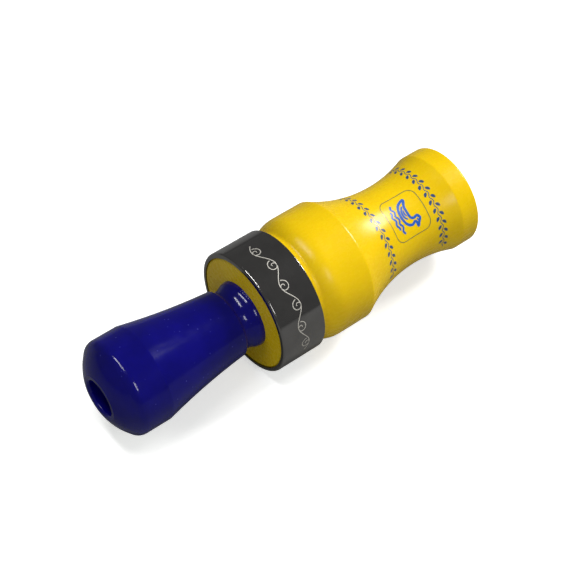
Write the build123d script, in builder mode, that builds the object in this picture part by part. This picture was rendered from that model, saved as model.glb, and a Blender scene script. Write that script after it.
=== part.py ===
from build123d import *
import os

# A two-reed duck call, in millimetres, lying on its side as on a table. +X runs along the call
# from the exhaust end to the mouthpiece, and +Z is up. The origin is under the middle of the
# call, on the table. Two words are used for places on the call: s is the distance from the
# mouthpiece rim towards the exhaust end, and h is the height above the call's own axis.

# ---------------------------------------------------------------- driving dimensions
CALL_LENGTH = 122.5
BORE_R = 8.80  # the barrel's bore, straight through

# barrel, from the mouthpiece rim
MOUTH_R = 15.35
RIM_ROUND = 0.7
MOUTH_CREASE_S = 6.2
WAIST_R = 12.90
WAIST_S = 20.9
SHOULDER_R = 18.75
SHOULDER_S = 43.1
SHOULDER_TOP_S = 53.0
CREASE_ROUND = 1.0
GROOVE_R = 16.90
GROOVE_S = 58.6
GROOVE_ROUND = 1.5
BAND_REAR_S = 60.6
BARREL_END_S = 74.8
END_CHAMFER = 0.4
DISH_R = 17.2  # ball-shaped dish in the mouthpiece
DISH_CENTRE_S = -10.8
DISH_LIP_ROUND = 0.6

# band, pressed on the barrel's end
BAND_SEAT_R = 17.20
BAND_R = 18.55
BAND_FRONT_S = 75.0
BAND_FRONT_ROUND = 0.7
BAND_REAR_ROUND = 0.2

# insert: neck and bell outside the barrel, as (radius, s)
NECK_R = 10.05  # its rounded shoulder rests on the barrel's end
NECK_TURN = (9.50, 77.0)  # where the shoulder's curve turns into the hollow's
NECK_WAIST = (8.82, 79.5)
TAIL_ROOT_R = 1.0
TAIL_R = 10.05
TAIL_S = 80.9
TAIL_EDGE = 0.3
BELL_MID = (11.80, 95.3)
BELL_R = 14.35
BELL_CREASE_S = 108.6
NOSE_S = 116.2
NOSE_EDGE = (12.95, 118.85)
NOSE_MID = (10.1, 121.0)
LIP_R = 6.9
EXHAUST_R = 5.30
EXHAUST_FLOOR_S = 82.0
DRILL_POINT = 3.2
EXHAUST_LIP = 0.8

# insert: tenon and stem inside the barrel, with the reeds on the upper side
TENON_R = 8.73
TENON_END_S = 53.0
STEM_R = 8.60
TIP_S = 10.0
TIP_CORNER = 5.0
TIP_UNDER_H = -3.4  # the stem thins towards its tip on the underside
TIP_UNDER_S = 28.0
SEAT_H = 1.0  # flat that the reeds are clamped on
BOARD_CURVE_S = 51.0
TIP_DROP = 2.05  # how far the tone board falls away under the reed tips
POCKET_END_S = 63.5
ROOF_MOUTH_H = 6.1
ROOF_END_H = 5.3
CHANNEL_R = 3.2
CHANNEL_H = -0.9
CHANNEL_TIP_S = 24.0
CHANNEL_BACK_S = 60.0

# seals in two grooves round the tenon
RING_S = (71.6, 66.9)
GLAND_R = 7.50
GLAND_WIDTH = 2.3
RING_GAP = 0.02
RING_OVAL = 1.35  # a squeezed ring's width over its height

# reeds and wedge
REED_WIDTH = 14.0
REED_BACK_S = 63.3
LONG_TIP_S = 10.8
LONG_THICK = 0.36
SHORT_TIP_S = 17.5
SHORT_THICK = 0.25
REED_EAR = 3.0
STACK_GAP = 0.02
RISE_S = 39.0
TIP_RISE = 0.30
DIMPLE_S = 26.0
DIMPLE_R = 1.25
DIMPLE_DEPTH = 0.17
DIMPLE_ROOT = 0.06  # how far the dome's profile starts inside the reed
WEDGE_WIDTH = 12.6
WEDGE_FRONT_S = 52.0
WEDGE_GAP = 0.03
WEDGE_ROUND = 0.4

PAST = 3.0  # how far a cutting profile runs past the surface that it cuts

# ---------------------------------------------------------------- worked-out dimensions
long_h = SEAT_H + STACK_GAP
short_h = long_h + LONG_THICK + STACK_GAP
wedge_h = short_h + SHORT_THICK + WEDGE_GAP
roof_slope = (ROOF_MOUTH_H - ROOF_END_H) / (POCKET_END_S - TENON_END_S)
reed_rise_slope = TIP_RISE / (RISE_S - SHORT_TIP_S)

# ---------------------------------------------------------------- where the call lies
rim_centre = Vector(CALL_LENGTH / 2, 0, SHOULDER_R)  # it lies on the barrel's shoulder
call_axis = Axis(rim_centre, (-1, 0, 0))
side = Plane(origin=rim_centre, x_dir=(0, 0, 1), z_dir=(0, -1, 0))  # side view: local x, y are h, s


def across(s, h=0):
    """The plane square to the call at s, facing the exhaust end, with its origin at height h."""
    return Plane(origin=rim_centre + Vector(-s, 0, h), x_dir=(0, 1, 0), z_dir=(-1, 0, 0))


def plan(h):
    """The level plane at height h: local x is across the call and local y is s."""
    return Plane(origin=rim_centre + Vector(0, 0, h), x_dir=(0, 1, 0), z_dir=(0, 0, 1))


def rings(builder, radius, s):
    """The circular edges of one radius at one place along the call."""
    x = rim_centre.X - s
    circles = builder.edges().filter_by(GeomType.CIRCLE)
    return [e for e in circles if abs(e.radius - radius) < 0.01 and abs(e.arc_center.X - x) < 0.01]


def roof_h(s):
    """Height of the wedge pocket's sloping roof at s."""
    return ROOF_MOUTH_H - roof_slope * (s - TENON_END_S)


def write(builder, name):
    """Labels a finished piece and writes its STEP."""
    builder.part.label = name
    export_step(builder.part, f"parts/{name}.step")


os.makedirs("parts", exist_ok=True)

# ---------------------------------------------------------------- barrel
with BuildPart() as barrel:
    with BuildSketch(side):
        with BuildLine():
            Line((BORE_R, 0), (MOUTH_R, 0))
            Line((MOUTH_R, 0), (MOUTH_R, MOUTH_CREASE_S))
            ThreePointArc((MOUTH_R, MOUTH_CREASE_S), (WAIST_R, WAIST_S), (SHOULDER_R, SHOULDER_S))
            Line((SHOULDER_R, SHOULDER_S), (SHOULDER_R, SHOULDER_TOP_S))
            TangentArc((SHOULDER_R, SHOULDER_TOP_S), (GROOVE_R, GROOVE_S), tangent=(0, 1))
            Polyline(
                (GROOVE_R, GROOVE_S),
                (GROOVE_R, BAND_REAR_S),
                (BAND_SEAT_R, BAND_REAR_S),
                (BAND_SEAT_R, BARREL_END_S),
                (BORE_R, BARREL_END_S),
                (BORE_R, 0),
            )
        make_face()
    revolve(axis=call_axis)
    with Locations(across(DISH_CENTRE_S)):
        Sphere(DISH_R, mode=Mode.SUBTRACT)
    fillet(rings(barrel, MOUTH_R, 0), RIM_ROUND)
    fillet(rings(barrel, MOUTH_R, MOUTH_CREASE_S), CREASE_ROUND)
    fillet(rings(barrel, SHOULDER_R, SHOULDER_S), CREASE_ROUND)
    fillet(rings(barrel, GROOVE_R, GROOVE_S), GROOVE_ROUND)
    dish_lip_s = DISH_CENTRE_S + (DISH_R**2 - BORE_R**2) ** 0.5
    fillet(rings(barrel, BORE_R, dish_lip_s), DISH_LIP_ROUND)
    chamfer(rings(barrel, BAND_SEAT_R, BARREL_END_S), END_CHAMFER)
write(barrel, "barrel")

# ---------------------------------------------------------------- band
with BuildPart() as band:
    with BuildSketch(across(BAND_REAR_S)):
        Circle(BAND_R)
        Circle(BAND_SEAT_R, mode=Mode.SUBTRACT)
    extrude(amount=BAND_FRONT_S - BAND_REAR_S)
    fillet(rings(band, BAND_R, BAND_REAR_S), BAND_REAR_ROUND)
    fillet(rings(band, BAND_R, BAND_FRONT_S), BAND_FRONT_ROUND)
write(band, "band")

# ---------------------------------------------------------------- insert
neck_end = (NECK_WAIST[0], TAIL_S - TAIL_ROOT_R)
tail_root = (NECK_WAIST[0] + TAIL_ROOT_R, TAIL_S)

with BuildPart() as insert:
    # turned outline: stem, tenon, neck, bell and nose
    with BuildSketch(side):
        with BuildLine():
            Polyline(
                (0, TIP_S),
                (STEM_R, TIP_S),
                (STEM_R, TENON_END_S),
                (TENON_R, TENON_END_S),
                (TENON_R, BARREL_END_S),
                (NECK_R, BARREL_END_S),
            )
            shoulder = TangentArc((NECK_R, BARREL_END_S), NECK_TURN, tangent=(0, 1))
            TangentArc(NECK_TURN, NECK_WAIST, tangent=shoulder % 1)
            Line(NECK_WAIST, neck_end)
            RadiusArc(neck_end, tail_root, TAIL_ROOT_R)
            Line(tail_root, (TAIL_R, TAIL_S))
            ThreePointArc((TAIL_R, TAIL_S), BELL_MID, (BELL_R, BELL_CREASE_S))
            Line((BELL_R, BELL_CREASE_S), (BELL_R, NOSE_S))
            TangentArc((BELL_R, NOSE_S), NOSE_EDGE, tangent=(0, 1))
            ThreePointArc(NOSE_EDGE, NOSE_MID, (LIP_R, CALL_LENGTH))
            Polyline((LIP_R, CALL_LENGTH), (0, CALL_LENGTH), (0, TIP_S))
        make_face()
    revolve(axis=call_axis)
    fillet(rings(insert, TAIL_R, TAIL_S), TAIL_EDGE)
    fillet(rings(insert, BELL_R, BELL_CREASE_S), CREASE_ROUND)

    # exhaust bore with its drill point and rounded lip
    with BuildSketch(across(EXHAUST_FLOOR_S)):
        Circle(EXHAUST_R)
    extrude(amount=CALL_LENGTH - EXHAUST_FLOOR_S, mode=Mode.SUBTRACT)
    with Locations(across(EXHAUST_FLOOR_S - DRILL_POINT)):
        Cone(0, EXHAUST_R, DRILL_POINT, align=(Align.CENTER, Align.CENTER, Align.MIN), mode=Mode.SUBTRACT)
    fillet(rings(insert, EXHAUST_R, CALL_LENGTH), EXHAUST_LIP)

    # tone channel: a ball-ended bore, opened up to the reed seat along the board
    with BuildSketch(across(CHANNEL_TIP_S, CHANNEL_H)):
        Circle(CHANNEL_R)
    extrude(amount=EXHAUST_FLOOR_S - CHANNEL_TIP_S, mode=Mode.SUBTRACT)
    with Locations(across(CHANNEL_TIP_S, CHANNEL_H)):
        Sphere(CHANNEL_R, mode=Mode.SUBTRACT)
    with BuildSketch(plan(CHANNEL_H)):
        with Locations((0, (CHANNEL_TIP_S + CHANNEL_BACK_S) / 2)):
            SlotCenterToCenter(CHANNEL_BACK_S - CHANNEL_TIP_S, 2 * CHANNEL_R, rotation=90)
    extrude(amount=SEAT_H - CHANNEL_H + PAST / 2, mode=Mode.SUBTRACT)

    # upper side milled away: pocket for the reeds and wedge, flat seat, then the curved tone board
    with BuildSketch(side):
        with BuildLine():
            board = TangentArc((SEAT_H, BOARD_CURVE_S), (SEAT_H - TIP_DROP, TIP_S), tangent=(0, -1))
            Polyline(
                board @ 1,
                (SEAT_H - TIP_DROP, TIP_S - PAST),
                (STEM_R + PAST, TIP_S - PAST),
                (STEM_R + PAST, TENON_END_S),
                (ROOF_MOUTH_H, TENON_END_S),
                (ROOF_END_H, POCKET_END_S),
                (SEAT_H, POCKET_END_S),
                board @ 0,
            )
        make_face()
    extrude(amount=TENON_R + PAST, both=True, mode=Mode.SUBTRACT)

    # underside sloped up to the tip
    with BuildSketch(side):
        with BuildLine():
            Polyline(
                (TIP_UNDER_H, TIP_S),
                (-STEM_R, TIP_UNDER_S),
                (-STEM_R - PAST, TIP_UNDER_S),
                (-STEM_R - PAST, TIP_S - PAST),
                (TIP_UNDER_H, TIP_S - PAST),
                close=True,
            )
        make_face()
    extrude(amount=TENON_R + PAST, both=True, mode=Mode.SUBTRACT)

    # rounded end of the tone board, seen from above: everything outside this plan is cut away
    with BuildSketch(plan(0)):
        with Locations((0, TIP_S)):
            Rectangle(2 * STEM_R, TENON_END_S - TIP_S, align=(Align.CENTER, Align.MIN))
        tip_corners = vertices().group_by(Axis.Y)[0]
        fillet(tip_corners, TIP_CORNER)
        with Locations((0, TENON_END_S)):
            Rectangle(4 * STEM_R, CALL_LENGTH, align=(Align.CENTER, Align.MIN))
    extrude(amount=2 * STEM_R, both=True, mode=Mode.INTERSECT)

    # grooves for the two seals
    with BuildSketch(side):
        with Locations(*[((GLAND_R + TENON_R + PAST) / 2, s) for s in RING_S]):
            Rectangle(TENON_R + PAST - GLAND_R, GLAND_WIDTH)
    revolve(axis=call_axis, mode=Mode.SUBTRACT)
write(insert, "insert")


# ---------------------------------------------------------------- seals
def o_ring(s):
    """A rubber ring squeezed oval between its groove's floor and the bore."""
    squeezed = (BORE_R - GLAND_R) / 2 - RING_GAP
    with BuildPart() as ring:
        with BuildSketch(side):
            with Locations(((BORE_R + GLAND_R) / 2, s)):
                Ellipse(squeezed, squeezed * RING_OVAL)
        revolve(axis=call_axis)
    return ring


for name, ring_s in zip(("o_ring_front", "o_ring_rear"), RING_S):
    write(o_ring(ring_s), name)


# ---------------------------------------------------------------- reeds
def reed_outline(tip_s):
    """Plan of a reed: square at the clamped end, with its tip corners cut off."""
    with Locations((0, tip_s)):
        Rectangle(REED_WIDTH, REED_BACK_S - tip_s, align=(Align.CENTER, Align.MIN))
    chamfer(vertices().group_by(Axis.Y)[0], REED_EAR)


with BuildPart() as long_reed:
    with BuildSketch(plan(long_h)):
        reed_outline(LONG_TIP_S)
    extrude(amount=LONG_THICK)
write(long_reed, "long_reed")

dimple_h = short_h + reed_rise_slope * (RISE_S - DIMPLE_S)
dimple_axis = Axis(rim_centre + Vector(-DIMPLE_S, 0, 0), (0, 0, 1))

with BuildPart() as short_reed:
    # side view: flat under the wedge, then rising a little to ride on its dimple
    with BuildSketch(side):
        with BuildLine():
            Polyline(
                (short_h, REED_BACK_S),
                (short_h, RISE_S),
                (short_h + TIP_RISE, SHORT_TIP_S),
                (short_h + TIP_RISE + SHORT_THICK, SHORT_TIP_S),
                (short_h + SHORT_THICK, RISE_S),
                (short_h + SHORT_THICK, REED_BACK_S),
                close=True,
            )
        make_face()
    extrude(amount=REED_WIDTH / 2, both=True)
    # shallow pressed dome: a bump towards the long reed with a hollow behind it
    for face_h, mode in ((dimple_h, Mode.ADD), (dimple_h + SHORT_THICK, Mode.SUBTRACT)):
        base = face_h + DIMPLE_ROOT
        with BuildSketch(side):
            with BuildLine():
                Line((base, DIMPLE_S), (face_h - DIMPLE_DEPTH, DIMPLE_S))
                TangentArc((face_h - DIMPLE_DEPTH, DIMPLE_S), (base, DIMPLE_S + DIMPLE_R), tangent=(0, 1))
                Line((base, DIMPLE_S + DIMPLE_R), (base, DIMPLE_S))
            make_face()
        revolve(axis=dimple_axis, mode=mode)
    with BuildSketch(plan(0)):
        reed_outline(SHORT_TIP_S)
    extrude(amount=2 * BORE_R, mode=Mode.INTERSECT)
write(short_reed, "short_reed")

# ---------------------------------------------------------------- wedge
with BuildPart() as wedge:
    with BuildSketch(side):
        with BuildLine():
            Polyline(
                (wedge_h, WEDGE_FRONT_S),
                (roof_h(WEDGE_FRONT_S) - WEDGE_GAP, WEDGE_FRONT_S),
                (roof_h(REED_BACK_S) - WEDGE_GAP, REED_BACK_S),
                (wedge_h, REED_BACK_S),
                close=True,
            )
        make_face()
    extrude(amount=WEDGE_WIDTH / 2, both=True)
    front = wedge.faces().sort_by(Axis.X)[-1]
    fillet(front.edges(), WEDGE_ROUND)
    # its sides are trimmed flush with the stem
    with BuildSketch(across(0)):
        Circle(STEM_R)
    extrude(amount=CALL_LENGTH, mode=Mode.INTERSECT)
write(wedge, "wedge")
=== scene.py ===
"""A two-reed duck call lying on a pale floor: materials, print, engraving and reeds round its CAD frame."""

import math

import bmesh
import bpy
from mathutils import Matrix, Vector
from mathutils.bvhtree import BVHTree


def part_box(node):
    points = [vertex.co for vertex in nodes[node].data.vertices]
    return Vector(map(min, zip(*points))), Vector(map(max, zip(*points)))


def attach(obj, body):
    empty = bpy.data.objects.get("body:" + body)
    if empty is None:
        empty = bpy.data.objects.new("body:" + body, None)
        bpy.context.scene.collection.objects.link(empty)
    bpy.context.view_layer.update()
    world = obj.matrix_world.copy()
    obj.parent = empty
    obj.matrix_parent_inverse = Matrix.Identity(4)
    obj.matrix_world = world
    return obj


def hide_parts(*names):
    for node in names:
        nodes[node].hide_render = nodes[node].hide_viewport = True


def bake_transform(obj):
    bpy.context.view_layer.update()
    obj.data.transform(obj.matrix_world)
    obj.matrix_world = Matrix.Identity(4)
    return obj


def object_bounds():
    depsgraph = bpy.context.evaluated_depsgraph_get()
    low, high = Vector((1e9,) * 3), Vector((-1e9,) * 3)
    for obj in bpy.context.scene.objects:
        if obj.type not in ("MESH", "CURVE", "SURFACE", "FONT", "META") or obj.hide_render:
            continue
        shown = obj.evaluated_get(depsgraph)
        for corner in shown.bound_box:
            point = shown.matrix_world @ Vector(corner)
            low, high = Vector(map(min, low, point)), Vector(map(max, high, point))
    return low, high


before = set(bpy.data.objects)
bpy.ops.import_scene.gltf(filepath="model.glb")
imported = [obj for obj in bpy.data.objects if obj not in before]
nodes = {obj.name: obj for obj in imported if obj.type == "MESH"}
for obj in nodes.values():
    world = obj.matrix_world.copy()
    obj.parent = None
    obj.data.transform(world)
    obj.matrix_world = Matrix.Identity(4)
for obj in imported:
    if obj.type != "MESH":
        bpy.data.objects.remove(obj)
cad_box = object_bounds()

MM = 0.001

# ---------------------------------------------------------------- places on the call, from the frame
# s is the distance from the mouthpiece rim, and an angle round the call is 0 on top and grows
# towards -Y.
barrel_low, barrel_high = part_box("barrel")
band_low, band_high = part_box("band")
rim_x = barrel_high.x
axis_z = (barrel_low.z + barrel_high.z) / 2
band_r = (band_high.z - band_low.z) / 2
band_middle_s = rim_x - (band_low.x + band_high.x) / 2


# ---------------------------------------------------------------- node helpers
def add(tree, kind, inputs=None, **settings):
    """A new shader node. Each input is a constant, or another node's output to link."""
    made = tree.nodes.new("ShaderNode" + kind)
    for name, value in settings.items():
        setattr(made, name, value)
    for name, value in (inputs or {}).items():
        if isinstance(value, bpy.types.NodeSocket):
            tree.links.new(value, made.inputs[name])
        else:
            made.inputs[name].default_value = value
    return made


def shader(name, **values):
    """A new material, its node tree and its Principled shader with these uniform values."""
    material = bpy.data.materials.new(name)
    material.use_nodes = True
    principled = material.node_tree.nodes["Principled BSDF"]
    for socket, value in values.items():
        principled.inputs[socket.replace("_", " ")].default_value = value
    return material, material.node_tree, principled


def place(tree, stretch=(1, 1, 1)):
    """Coordinates on the piece in millimetres, times a stretch along each axis."""
    coordinates = add(tree, "TexCoord").outputs["Object"]
    scale = [k / MM for k in stretch]
    return add(tree, "Mapping", {"Vector": coordinates, "Scale": scale}).outputs["Vector"]


def noise(tree, vector, scale, detail=2.0, roughness=0.5):
    """Cloudy noise from 0 to 1, with about this many clouds to a millimetre."""
    values = {"Vector": vector, "Scale": scale, "Detail": detail, "Roughness": roughness}
    return add(tree, "TexNoise", values).outputs["Fac"]


def spread(tree, value, low, high, start=0.3, end=0.7):
    """Maps a value between start and end to low and high."""
    values = {"Value": value, "From Min": start, "From Max": end, "To Min": low, "To Max": high}
    return add(tree, "MapRange", values).outputs["Result"]


def colours(tree, value, *stops):
    """A colour ramp: each stop is (position, colour)."""
    ramp = add(tree, "ValToRGB", {"Fac": value})
    elements = ramp.color_ramp.elements
    while len(elements) < len(stops):
        elements.new(0.5)
    for element, (position, colour) in zip(elements, stops):
        element.position = position
        element.color = (*colour, 1)
    return ramp.outputs["Color"]


MIX_FACTOR, MIX_A, MIX_B, MIX_RESULT = 0, 6, 7, 2  # the Mix node's sockets for colours


def mixed(tree, factor, one, two, blend="MIX"):
    """Two colours mixed by a factor: each of the three is a constant or a node's output."""
    values = {MIX_FACTOR: factor, MIX_A: one, MIX_B: two}
    return add(tree, "Mix", values, data_type="RGBA", blend_type=blend).outputs[MIX_RESULT]


def bump(tree, principled, *layers):
    """Chains bumps into the shader's normal: each layer is (height, depth in millimetres)."""
    normal = None
    for height, depth in layers:
        values = {"Height": height, "Distance": depth * MM, "Strength": 1.0}
        if normal is not None:
            values["Normal"] = normal
        normal = add(tree, "Bump", values).outputs["Normal"]
    tree.links.new(normal, principled.inputs["Normal"])


def link(tree, output, principled, name):
    """Feeds a node's output to one of the shader's sockets."""
    tree.links.new(output, principled.inputs[name])


# ---------------------------------------------------------------- materials
def barrel_acrylic():
    """Opaque yellow acrylic, turned and buffed: faint colour clouds, turning lines and hazy rub marks."""
    material, tree, principled = shader(
        "barrel_acrylic", IOR=1.34, Subsurface_Weight=0.15, Subsurface_Scale=0.8 * MM
    )
    principled.inputs["Subsurface Radius"].default_value = (1.0, 0.7, 0.1)
    clouds = noise(tree, place(tree), 0.09, detail=3)
    warm = colours(tree, clouds, (0.35, (0.75, 0.495, 0.002)), (0.65, (0.79, 0.530, 0.002)))
    link(tree, warm, principled, "Base Color")
    rubbed = noise(tree, place(tree, (0.5, 1, 1)), 0.8, detail=4, roughness=0.65)
    link(tree, spread(tree, rubbed, 0.23, 0.31), principled, "Roughness")
    turning = noise(tree, place(tree, (1, 0.03, 0.03)), 5, detail=2)
    grain = noise(tree, place(tree), 3.0, detail=3)
    bump(tree, principled, (turning, 0.0006), (grain, 0.0003))
    return material


def insert_acrylic():
    """Deep blue acrylic, polished and a little translucent, with sparse pale flecks under the surface."""
    material, tree, principled = shader(
        "insert_acrylic", IOR=1.42, Subsurface_Weight=0.35, Subsurface_Scale=2.5 * MM
    )
    principled.inputs["Subsurface Radius"].default_value = (0.25, 0.2, 1.0)
    clouds = noise(tree, place(tree), 0.12, detail=3)
    deep = colours(tree, clouds, (0.35, (0.0018, 0.0012, 0.120)), (0.65, (0.0028, 0.0018, 0.150)))
    cells = add(tree, "TexVoronoi", {"Vector": place(tree), "Scale": 0.42})
    fleck = spread(tree, cells.outputs["Distance"], 1, 0, start=0.06, end=0.12)
    link(tree, mixed(tree, fleck, deep, (0.02, 0.02, 0.22, 1)), principled, "Base Color")
    rubbed = noise(tree, place(tree, (0.5, 1, 1)), 0.8, detail=4, roughness=0.65)
    link(tree, spread(tree, rubbed, 0.09, 0.15), principled, "Roughness")
    turning = noise(tree, place(tree, (1, 0.03, 0.03)), 5, detail=2)
    grain = noise(tree, place(tree), 2.5, detail=3)
    bump(tree, principled, (turning, 0.0003), (grain, 0.0003))
    return material


def band_metal():
    """Gunmetal anodising over turned aluminium: dark mirror polish with fine lines round it."""
    material, tree, principled = shader("band_metal", Metallic=1.0, IOR=1.45)
    clouds = noise(tree, place(tree), 0.25, detail=4, roughness=0.6)
    tint = colours(tree, clouds, (0.3, (0.275, 0.268, 0.262)), (0.7, (0.320, 0.312, 0.303)))
    link(tree, tint, principled, "Base Color")
    lines = noise(tree, place(tree, (1, 0.02, 0.02)), 16, detail=3, roughness=0.7)
    link(tree, spread(tree, lines, 0.10, 0.17), principled, "Roughness")
    bump(tree, principled, (lines, 0.0001), (clouds, 0.0008))
    return material


def seal_rubber():
    """Matt black nitrile rubber with a fine moulded grain."""
    material, tree, principled = shader("seal_rubber", IOR=1.5)
    grain = noise(tree, place(tree), 6, detail=5, roughness=0.7)
    black = colours(tree, grain, (0.3, (0.010, 0.010, 0.011)), (0.7, (0.028, 0.028, 0.030)))
    link(tree, black, principled, "Base Color")
    link(tree, spread(tree, grain, 0.5, 0.75), principled, "Roughness")
    bump(tree, principled, (grain, 0.01))
    return material


def reed_film():
    """Satin polyester film, clear enough to glow, with fine sanding lines along it."""
    material, tree, principled = shader("reed_film", IOR=1.57, Transmission_Weight=0.55)
    lines = noise(tree, place(tree, (0.05, 1, 1)), 7, detail=4, roughness=0.7)
    pale = colours(tree, lines, (0.3, (0.80, 0.83, 0.81)), (0.7, (0.90, 0.92, 0.90)))
    link(tree, pale, principled, "Base Color")
    link(tree, spread(tree, lines, 0.22, 0.42), principled, "Roughness")
    bump(tree, principled, (lines, 0.004))
    return material


def wedge_cork():
    """Cut cork: packed tan cells with darker seams between them, and open pores."""
    material, tree, principled = shader("wedge_cork", IOR=1.4)
    cells = add(tree, "TexVoronoi", {"Vector": place(tree), "Scale": 1.3, "Randomness": 1.0})
    seams = add(tree, "TexVoronoi", {"Vector": place(tree), "Scale": 1.3}, feature="DISTANCE_TO_EDGE")
    speckle = noise(tree, place(tree), 4, detail=6, roughness=0.75)
    pore, cell, rind = (0.10, 0.045, 0.018), (0.44, 0.26, 0.12), (0.62, 0.42, 0.22)
    tan = colours(tree, speckle, (0.36, pore), (0.44, cell), (0.72, rind))
    shade = colours(tree, cells.outputs["Distance"], (0.0, (1, 1, 1)), (1.0, (0.62, 0.55, 0.48)))
    link(tree, mixed(tree, 1.0, tan, shade, blend="MULTIPLY"), principled, "Base Color")
    link(tree, spread(tree, speckle, 0.95, 0.75), principled, "Roughness")
    edge = spread(tree, seams.outputs["Distance"], 0, 1, start=0.0, end=0.15)
    bump(tree, principled, (edge, 0.05), (speckle, 0.10))
    return material


def print_ink(name, thin, thick):
    """Ink printed on acrylic: a little uneven in density, with a soft gloss."""
    material, tree, principled = shader(name, IOR=1.48)
    density = noise(tree, place(tree), 2.2, detail=5, roughness=0.7)
    link(tree, colours(tree, density, (0.3, thin), (0.62, thick)), principled, "Base Color")
    link(tree, spread(tree, density, 0.24, 0.38), principled, "Roughness")
    bump(tree, principled, (density, 0.003))
    return material


def engraved_line():
    """Bare aluminium where a laser has frosted the anodising away."""
    material, tree, principled = shader("engraved_line", Metallic=0.3, IOR=1.5)
    frost = noise(tree, place(tree), 9, detail=4, roughness=0.7)
    bare = colours(tree, frost, (0.3, (0.46, 0.44, 0.40)), (0.7, (0.62, 0.59, 0.54)))
    link(tree, bare, principled, "Base Color")
    link(tree, spread(tree, frost, 0.45, 0.7), principled, "Roughness")
    bump(tree, principled, (frost, 0.006))
    return material


FLOOR_DARK = (0.18, 0.18, 0.18, 1)
FLOOR_GLOW = 0.5  # painted glow, seen by the camera alone, that pales the call's cast shadow: this much near the call, growing to 1 between these distances in millimetres
FLOOR_FADE_START = 300
FLOOR_FADE_END = 900


def floor_card():
    """Pale matt card with a barely visible tooth and a painted glow: to the camera alone it gives off light,
    half as much near the call as far off, which pales the call's cast shadow on it. Only the camera sees it
    pale: the light that it gives back to the call, and its look in reflections, are those of a darker card."""
    material, tree, principled = shader("floor_card", IOR=1.3)
    tooth = noise(tree, place(tree), 1.5, detail=4)
    seen = add(tree, "LightPath").outputs["Is Camera Ray"]
    pale = colours(tree, tooth, (0.3, (0.90, 0.90, 0.90)), (0.7, (0.92, 0.92, 0.92)))
    link(tree, mixed(tree, seen, FLOOR_DARK, pale), principled, "Base Color")
    # Painted glow: the card gives off light to the camera alone, weaker near the call, which pales the call's
    # cast shadow.
    away = add(tree, "VectorMath", {"Vector": place(tree)}, operation="LENGTH").outputs["Value"]
    far = spread(tree, away, FLOOR_GLOW, 1, start=FLOOR_FADE_START, end=FLOOR_FADE_END)
    glow = add(tree, "Math", {0: far, 1: seen}, operation="MULTIPLY")
    link(tree, glow.outputs[0], principled, "Emission Strength")
    principled.inputs["Roughness"].default_value = 0.9
    bump(tree, principled, (tooth, 0.01))
    return material


def dress(node, material):
    """Gives a CAD node its material."""
    slots = nodes[node].data.materials
    if slots:
        for index in range(len(slots)):
            slots[index] = material
    else:
        slots.append(material)


seal = seal_rubber()
film = reed_film()
dress("barrel", barrel_acrylic())
dress("band", band_metal())
dress("insert", insert_acrylic())
dress("o_ring_front", seal)
dress("o_ring_rear", seal)
dress("wedge", wedge_cork())


# ---------------------------------------------------------------- strokes laid on a turned surface
STROKE_LIFT = 0.015  # how far a printed or engraved stroke stands proud, and how far it is sunk
STROKE_ROOT = 0.03
STROKE_STEP = 0.25  # distance between the points of a stroke


def outside(node):
    """A CAD node's surface, ready for rays."""
    mesh = nodes[node].data
    return BVHTree.FromPolygons([v.co for v in mesh.vertices], [p.vertices for p in mesh.polygons])


def smooth_line(points, closed=False):
    """A Catmull-Rom curve through points of any number of values, about STROKE_STEP apart."""
    points = [Vector(p) for p in points]
    count = len(points)
    last = count if closed else count - 1
    line = []
    for i in range(last):
        a, b, c, d = (points[(i + k) % count] for k in (-1, 0, 1, 2))
        if not closed:
            a = points[max(i - 1, 0)]
            d = points[min(i + 2, count - 1)]
        steps = max(2, round((c - b).length / STROKE_STEP))
        for k in range(steps):
            t = k / steps
            square = (2 * a - 5 * b + 4 * c - d) * t**2
            cube = (3 * b - a - 3 * c + d) * t**3
            line.append(0.5 * (2 * b + (c - a) * t + square + cube))
    if not closed:
        line.append(points[-1])
    return line


class Decoration:
    """Strokes on the outside of a turned node. Places are in millimetres: u runs round the call,
    v runs along it towards the mouthpiece, and (0, 0) is at s and at an angle round the call."""

    def __init__(self, name, node, s, angle, radius):
        self.name = name
        self.tree = outside(node)
        self.s = s
        self.angle = angle
        self.radius = radius
        self.mesh = bmesh.new()

    def on_surface(self, u, v, lift):
        angle = self.angle + u / self.radius
        out = Vector((0, -math.sin(angle), math.cos(angle)))
        x = rim_x - (self.s - v) * MM
        start = Vector((x, 0, axis_z)) + out * (2 * band_r)
        hit = self.tree.ray_cast(start, -out)[0]
        return hit + out * (lift * MM)

    def stroke(self, line, closed=False):
        """A ribbon along a line of (u, v, half width) points, with a little thickness."""
        rings = []
        for i, (u, v, half) in enumerate(line):
            before = line[i - 1] if i or closed else line[i]
            after = line[(i + 1) % len(line)] if closed or i + 1 < len(line) else line[i]
            along = Vector((after[0] - before[0], after[1] - before[1])).normalized()
            side = Vector((-along.y, along.x)) * half
            left, right = (u + side.x, v + side.y), (u - side.x, v - side.y)
            corners = ((left, STROKE_LIFT), (right, STROKE_LIFT), (right, -STROKE_ROOT), (left, -STROKE_ROOT))
            rings.append([self.mesh.verts.new(self.on_surface(*at, lift)) for at, lift in corners])
        pairs = list(zip(rings, rings[1:] + rings[:1])) if closed else list(zip(rings, rings[1:]))
        for one, two in pairs:
            for k in range(4):
                j = (k + 1) % 4
                self.mesh.faces.new((one[k], two[k], two[j], one[j]))
        if not closed:
            self.mesh.faces.new(rings[0])
            self.mesh.faces.new(rings[-1][::-1])

    def finish(self, material, body, slot):
        """Makes the piece, riding on its body."""
        bmesh.ops.recalc_face_normals(self.mesh, faces=self.mesh.faces)
        mesh = bpy.data.meshes.new(self.name)
        self.mesh.to_mesh(mesh)
        self.mesh.free()
        mesh.materials.append(material)
        piece = bpy.data.objects.new(self.name, mesh)
        bpy.context.scene.collection.objects.link(piece)
        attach(piece, body)


RIBBON_END = 0.25  # how wide a ribbon is at its ends, as a share of its middle


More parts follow.
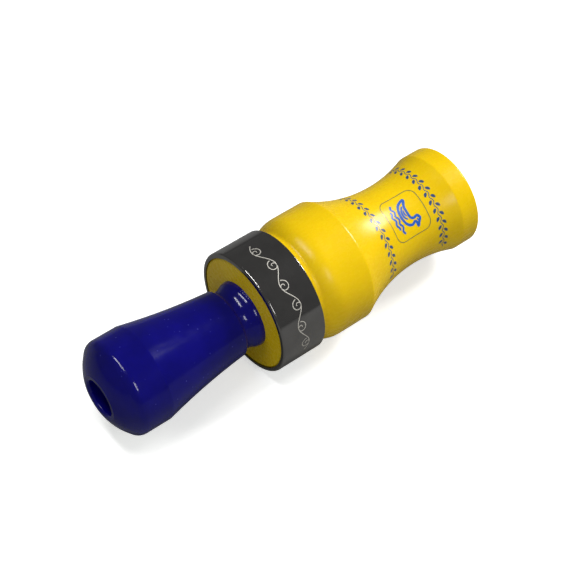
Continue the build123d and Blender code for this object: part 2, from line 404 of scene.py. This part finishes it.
def ribbon(points, half):
    """A smooth stroke through (u, v) points, thinning to its ends."""
    line = smooth_line([(u, v, half) for u, v in points])
    last = len(line) - 1
    for i, point in enumerate(line):
        point.z = half * (RIBBON_END + (1 - RIBBON_END) * math.sin(math.pi * i / last) ** 0.5)
    return line


# ---------------------------------------------------------------- print on the barrel
PRINT_ANGLE = math.radians(34)
WAIST_R = 13.3
EMBLEM_S = 21.8
EMBLEM_WIDTH = 13.4
EMBLEM_HEIGHT = 12.6
EMBLEM_CORNER = 2.6
FRAME_STEPS = 8  # in each of its corners
BORDER_HEIGHT = 2.7
BORDER_PITCH = 1.35  # from one leaf to the next
STEM_SWING = 0.28
LEAF_ROOT = 0.25
LEAF_HALF = 0.42
LEAF_END_HALF = 0.03
FINE_HALF = 0.11  # half widths of the print's lines
OUTLINE_HALF = 0.42
FEATHER_HALF = 0.36
SHORT_FEATHER_HALF = 0.24
EYE_HALF = 0.26
RIPPLE_HALF = 0.34
RIPPLE_HEIGHT = 0.28
RIPPLE_TURN = 2.6  # radians to a millimetre
DUCK_OUTLINE = (
    (4.5, 2.1), (3.4, 2.8), (2.5, 3.5), (1.5, 2.9), (1.7, 1.7), (1.1, 0.75), (-0.8, 0.6), (-2.6, 0.8),
    (-4.5, 1.8), (-3.8, -0.4), (-2.1, -1.6), (0.2, -1.9), (2.4, -1.2), (3.3, 0.3), (2.8, 1.5), (3.2, 1.95),
)


def emblem_frame():
    """A thin rounded frame."""
    frame_line = Decoration("print_frame", "barrel", EMBLEM_S, PRINT_ANGLE, WAIST_R)
    half_u, half_v = EMBLEM_WIDTH / 2, EMBLEM_HEIGHT / 2
    line = []
    corners = ((1, 1), (-1, 1), (-1, -1), (1, -1))
    for quarter, (a, b) in enumerate(corners):
        centre = Vector((a * (half_u - EMBLEM_CORNER), b * (half_v - EMBLEM_CORNER)))
        for k in range(FRAME_STEPS + 1):
            turn = math.pi / 2 * (quarter + k / FRAME_STEPS)
            line.append(centre + EMBLEM_CORNER * Vector((math.cos(turn), math.sin(turn))))
    dense = []
    for one, two in zip(line, line[1:] + line[:1]):
        steps = max(1, round((two - one).length / STROKE_STEP))
        for k in range(steps):
            t = k / steps
            dense.append(Vector((*one.lerp(two, t), FINE_HALF)))
    frame_line.stroke(dense, closed=True)
    return frame_line


def emblem():
    """A swimming duck in line over two ripples."""
    duck = Decoration("print_emblem", "barrel", EMBLEM_S, PRINT_ANGLE, WAIST_R)
    duck.stroke(smooth_line([(u, v, OUTLINE_HALF) for u, v in DUCK_OUTLINE], closed=True), closed=True)
    duck.stroke(ribbon(((1.3, -0.2), (0.2, -0.95), (-1.4, -0.9), (-3.0, 0.2)), FEATHER_HALF))
    duck.stroke(ribbon(((0.4, 0.0), (-0.6, -0.35), (-1.8, -0.1)), SHORT_FEATHER_HALF))
    duck.stroke(ribbon(((2.3, 2.55), (2.6, 2.6), (2.9, 2.5)), EYE_HALF))
    for v, reach in ((-3.1, 4.6), (-4.3, 2.9)):
        steps = round(2 * reach / STROKE_STEP)
        wave = [(-reach + 2 * reach * k / steps) for k in range(steps + 1)]
        duck.stroke([Vector((u, v + RIPPLE_HEIGHT * math.cos(RIPPLE_TURN * u), RIPPLE_HALF)) for u in wave])
    return duck


def border(name, s, radius, start, end):
    """A leafy line round the barrel, from one angle to another."""
    line = Decoration(name, "barrel", s, math.radians(start), radius)
    length = math.radians(end - start) * radius
    count = int(length / BORDER_PITCH)
    stem_steps = round(length / STROKE_STEP)
    stem = [length * k / stem_steps for k in range(stem_steps + 1)]
    line.stroke([Vector((u, STEM_SWING * math.sin(math.pi * u / BORDER_PITCH), FINE_HALF)) for u in stem])
    for i in range(count):
        up = 1 if i % 2 else -1
        u = BORDER_PITCH * (i + 0.5)
        root = LEAF_ROOT * up
        tip = BORDER_HEIGHT / 2 * up
        points = ((u - 0.35, root), (u + 0.05, (root + tip) / 2), (u + 0.85, tip))
        leaf = smooth_line([(*p, 0) for p in points])
        last = len(leaf) - 1
        for k, point in enumerate(leaf):
            point.z = LEAF_END_HALF + LEAF_HALF * math.sin(math.pi * k / last)
        line.stroke(leaf)
    return line


ink_dark = print_ink("ink_dark_blue", (0.040, 0.085, 0.19), (0.016, 0.052, 0.16))
ink_blue = print_ink("ink_mid_blue", (0.022, 0.115, 0.47), (0.012, 0.090, 0.43))
ink_grey = print_ink("ink_grey_blue", (0.10, 0.12, 0.06), (0.07, 0.10, 0.06))
emblem_frame().finish(ink_grey, "barrel", "barrel_acrylic")
emblem().finish(ink_blue, "barrel", "barrel_acrylic")
border("print_border_front", 12.5, 13.65, -47, 105).finish(ink_dark, "barrel", "barrel_acrylic")
border("print_border_rear", 32.2, 14.35, -38, 100).finish(ink_dark, "barrel", "barrel_acrylic")


# ---------------------------------------------------------------- engraving on the band
SCROLL_PITCH = 12.8
SCROLL_COUNT = 3
SCROLL_ANGLE = math.radians(42)
SCROLL_HALF = 0.12
SCROLL_HEIGHT = 1.5
CURL_STEPS = 30
CURL_START_R = 1.75
CURL_END_R = 0.30
CURL_HALF_TURNS = 2.6
CURL_THINNING = 0.03
CURL_PLACE = (0.2, -0.55)


def band_scroll():
    """A running scroll: a long wave with a curling tendril in each bend."""
    scroll = Decoration("band_scroll", "band", band_middle_s / MM, SCROLL_ANGLE, band_r / MM)
    length = SCROLL_PITCH * SCROLL_COUNT
    steps = round(length / STROKE_STEP)
    places = [length * (k / steps - 0.5) for k in range(steps + 1)]
    turn = 2 * math.pi / SCROLL_PITCH
    scroll.stroke([Vector((u, SCROLL_HEIGHT * math.sin(turn * u), SCROLL_HALF)) for u in places])
    for i in range(2 * SCROLL_COUNT):
        up = -1 if i % 2 else 1
        u = length * ((i + 0.5) / (2 * SCROLL_COUNT) - 0.5)
        curl = []
        for k in range(CURL_STEPS + 1):
            t = k / CURL_STEPS
            radius = CURL_START_R + (CURL_END_R - CURL_START_R) * t
            angle = math.pi * (1 - CURL_HALF_TURNS * t)
            across = u + CURL_PLACE[0] + radius * math.cos(angle)
            along = up * (CURL_PLACE[1] + radius * math.sin(angle))
            curl.append(Vector((across, along, SCROLL_HALF - CURL_THINNING * t)))
        scroll.stroke(curl)
    return scroll


band_scroll().finish(engraved_line(), "barrel", "band_metal")


# ---------------------------------------------------------------- reeds
REED_EAR = 3.0
REED_GRID = 0.5
REED_THICK = {"long_reed": 0.36, "short_reed": 0.25}
REED_RISE_S = 39.0
DIMPLE_S = 26.0
DIMPLE_R = 1.6
DIMPLE_DEPTH = 0.2
DIMPLE_FALL = 4  # how fast the dimple dies away with distance


def reed(name):
    """A strip of film with its tip corners cut off, on a fine grid: a pressed one rises towards its tip and
    has a dimple.
    """
    low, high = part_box(name)
    thick = REED_THICK[name] * MM
    rise = high.z - low.z - thick
    rise_x = rim_x - REED_RISE_S * MM
    dimple_x = rim_x - DIMPLE_S * MM
    pressed = rise > thick / 2
    along = round((high.x - low.x) / MM / REED_GRID)
    across = round((high.y - low.y) / MM / REED_GRID)
    mesh = bmesh.new()
    layers = ([], [])
    for i in range(along + 1):
        x = low.x + (high.x - low.x) * i / along
        half = high.y - max(0, x - (high.x - REED_EAR * MM))
        base = low.z + rise * max(0, (x - rise_x) / (high.x - rise_x)) if pressed else low.z
        for layer in layers:
            layer.append([])
        for j in range(across + 1):
            y = half * (2 * j / across - 1)
            z = base
            if pressed:
                away = math.hypot(x - dimple_x, y) / (DIMPLE_R * MM)
                z -= DIMPLE_DEPTH * MM * math.exp(-DIMPLE_FALL * away * away)
            layers[0][-1].append(mesh.verts.new((x, y, z)))
            layers[1][-1].append(mesh.verts.new((x, y, z + thick)))
    for layer, flip in zip(layers, (True, False)):
        for i in range(along):
            for j in range(across):
                corners = (layer[i][j], layer[i + 1][j], layer[i + 1][j + 1], layer[i][j + 1])
                mesh.faces.new(corners[::-1] if flip else corners)
    bottom, top = layers
    rim = [(i, 0) for i in range(along)] + [(along, j) for j in range(across)]
    rim += [(i, across) for i in range(along, 0, -1)] + [(0, j) for j in range(across, 0, -1)]
    for (i, j), (k, m) in zip(rim, rim[1:] + rim[:1]):
        mesh.faces.new((bottom[i][j], bottom[k][m], top[k][m], top[i][j]))
    bmesh.ops.recalc_face_normals(mesh, faces=mesh.faces)
    data = bpy.data.meshes.new(name + "_film")
    mesh.to_mesh(data)
    mesh.free()
    data.materials.append(film)
    piece = bpy.data.objects.new(name + "_film", data)
    bpy.context.scene.collection.objects.link(piece)
    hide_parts(name)
    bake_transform(piece)


for reed_name in REED_THICK:
    reed(reed_name)


# ---------------------------------------------------------------- floor, light and camera
FLOOR_REACH = 3.0
LAMP_DISTANCE = 0.8
ROOM_DIM = 0.12  # how bright the room is in reflections, and to the camera
ROOM_PALE = 0.95


def floor():
    """A wide pale sheet under the call."""
    mesh = bpy.data.meshes.new("floor")
    corners = [(a * FLOOR_REACH, b * FLOOR_REACH, 0) for a, b in ((-1, -1), (1, -1), (1, 1), (-1, 1))]
    mesh.from_pydata(corners, [], [(0, 1, 2, 3)])
    mesh.materials.append(floor_card())
    sheet = bpy.data.objects.new("floor", mesh)
    bpy.context.scene.collection.objects.link(sheet)


middle = (cad_box[0] + cad_box[1]) / 2


def lamp(name, direction, across, along, radiance, mirrored=True, tint=(1, 1, 1)):
    """A soft box that faces the call, as large and as bright as it looks from there: its angles
    round the call and along it are in degrees. One that isn't mirrored only fills the shade."""
    data = bpy.data.lights.new(name, "AREA")
    data.shape = "RECTANGLE"
    data.color = tint
    data.size = 2 * LAMP_DISTANCE * math.tan(math.radians(along / 2))
    data.size_y = 2 * LAMP_DISTANCE * math.tan(math.radians(across / 2))
    data.energy = radiance * math.pi * data.size * data.size_y
    box = bpy.data.objects.new(name, data)
    box.visible_glossy = mirrored
    away = Vector(direction).normalized()
    box.location = middle + away * LAMP_DISTANCE
    side = Vector((0, 1, 0)).cross(away).normalized()
    turn = Matrix((side, away.cross(side), away)).transposed()
    box.rotation_euler = turn.to_euler()
    bpy.context.scene.collection.objects.link(box)


def room():
    """A dim grey room round the soft boxes, pale where the camera looks straight at it."""
    world = bpy.data.worlds.new("room")
    world.use_nodes = True
    tree = world.node_tree
    tree.nodes.clear()
    dim = add(tree, "Background", {"Color": (1, 1, 1, 1), "Strength": ROOM_DIM})
    pale = add(tree, "Background", {"Color": (1, 1, 1, 1), "Strength": ROOM_PALE})
    seen = add(tree, "LightPath").outputs["Is Camera Ray"]
    either = add(tree, "MixShader", {0: seen, 1: dim.outputs[0], 2: pale.outputs[0]})
    add(tree, "OutputWorld", {"Surface": either.outputs[0]})
    bpy.context.scene.world = world


def camera():
    """Looks down on the call from its exhaust end."""
    azimuth = math.radians(-38.51)
    elevation = math.radians(48.56)
    distance = 0.420
    target = Vector((1.78, -1.56, 19.0)) * MM
    data = bpy.data.cameras.new("camera")
    data.sensor_width = 36
    data.lens = 93.1
    data.clip_start = 0.01
    eye = bpy.data.objects.new("camera", data)
    back = Vector((
        math.sin(azimuth) * math.cos(elevation),
        -math.cos(azimuth) * math.cos(elevation),
        math.sin(elevation),
    ))
    eye.location = target + back * distance
    eye.rotation_euler = back.to_track_quat("Z", "Y").to_euler()
    bpy.context.scene.collection.objects.link(eye)
    bpy.context.scene.camera = eye


floor()
room()
lamp("key_box", (0.81, -0.07, 0.58), 20, 20, 25)
lamp("overhead_strip", (-0.23, 0.11, 0.97), 36, 6.5, 16)
lamp("front_strip", (0.01, -0.79, 0.61), 17, 6, 12)
lamp("front_fill", (-0.1, -0.85, 0.4), 60, 60, 0.85, mirrored=False)
lamp("end_fill", (-0.9, -0.25, 0.45), 50, 50, 0.65, mirrored=False, tint=(0.86, 1.0, 0.75))
camera()
bpy.context.scene.view_settings.view_transform = "Standard"
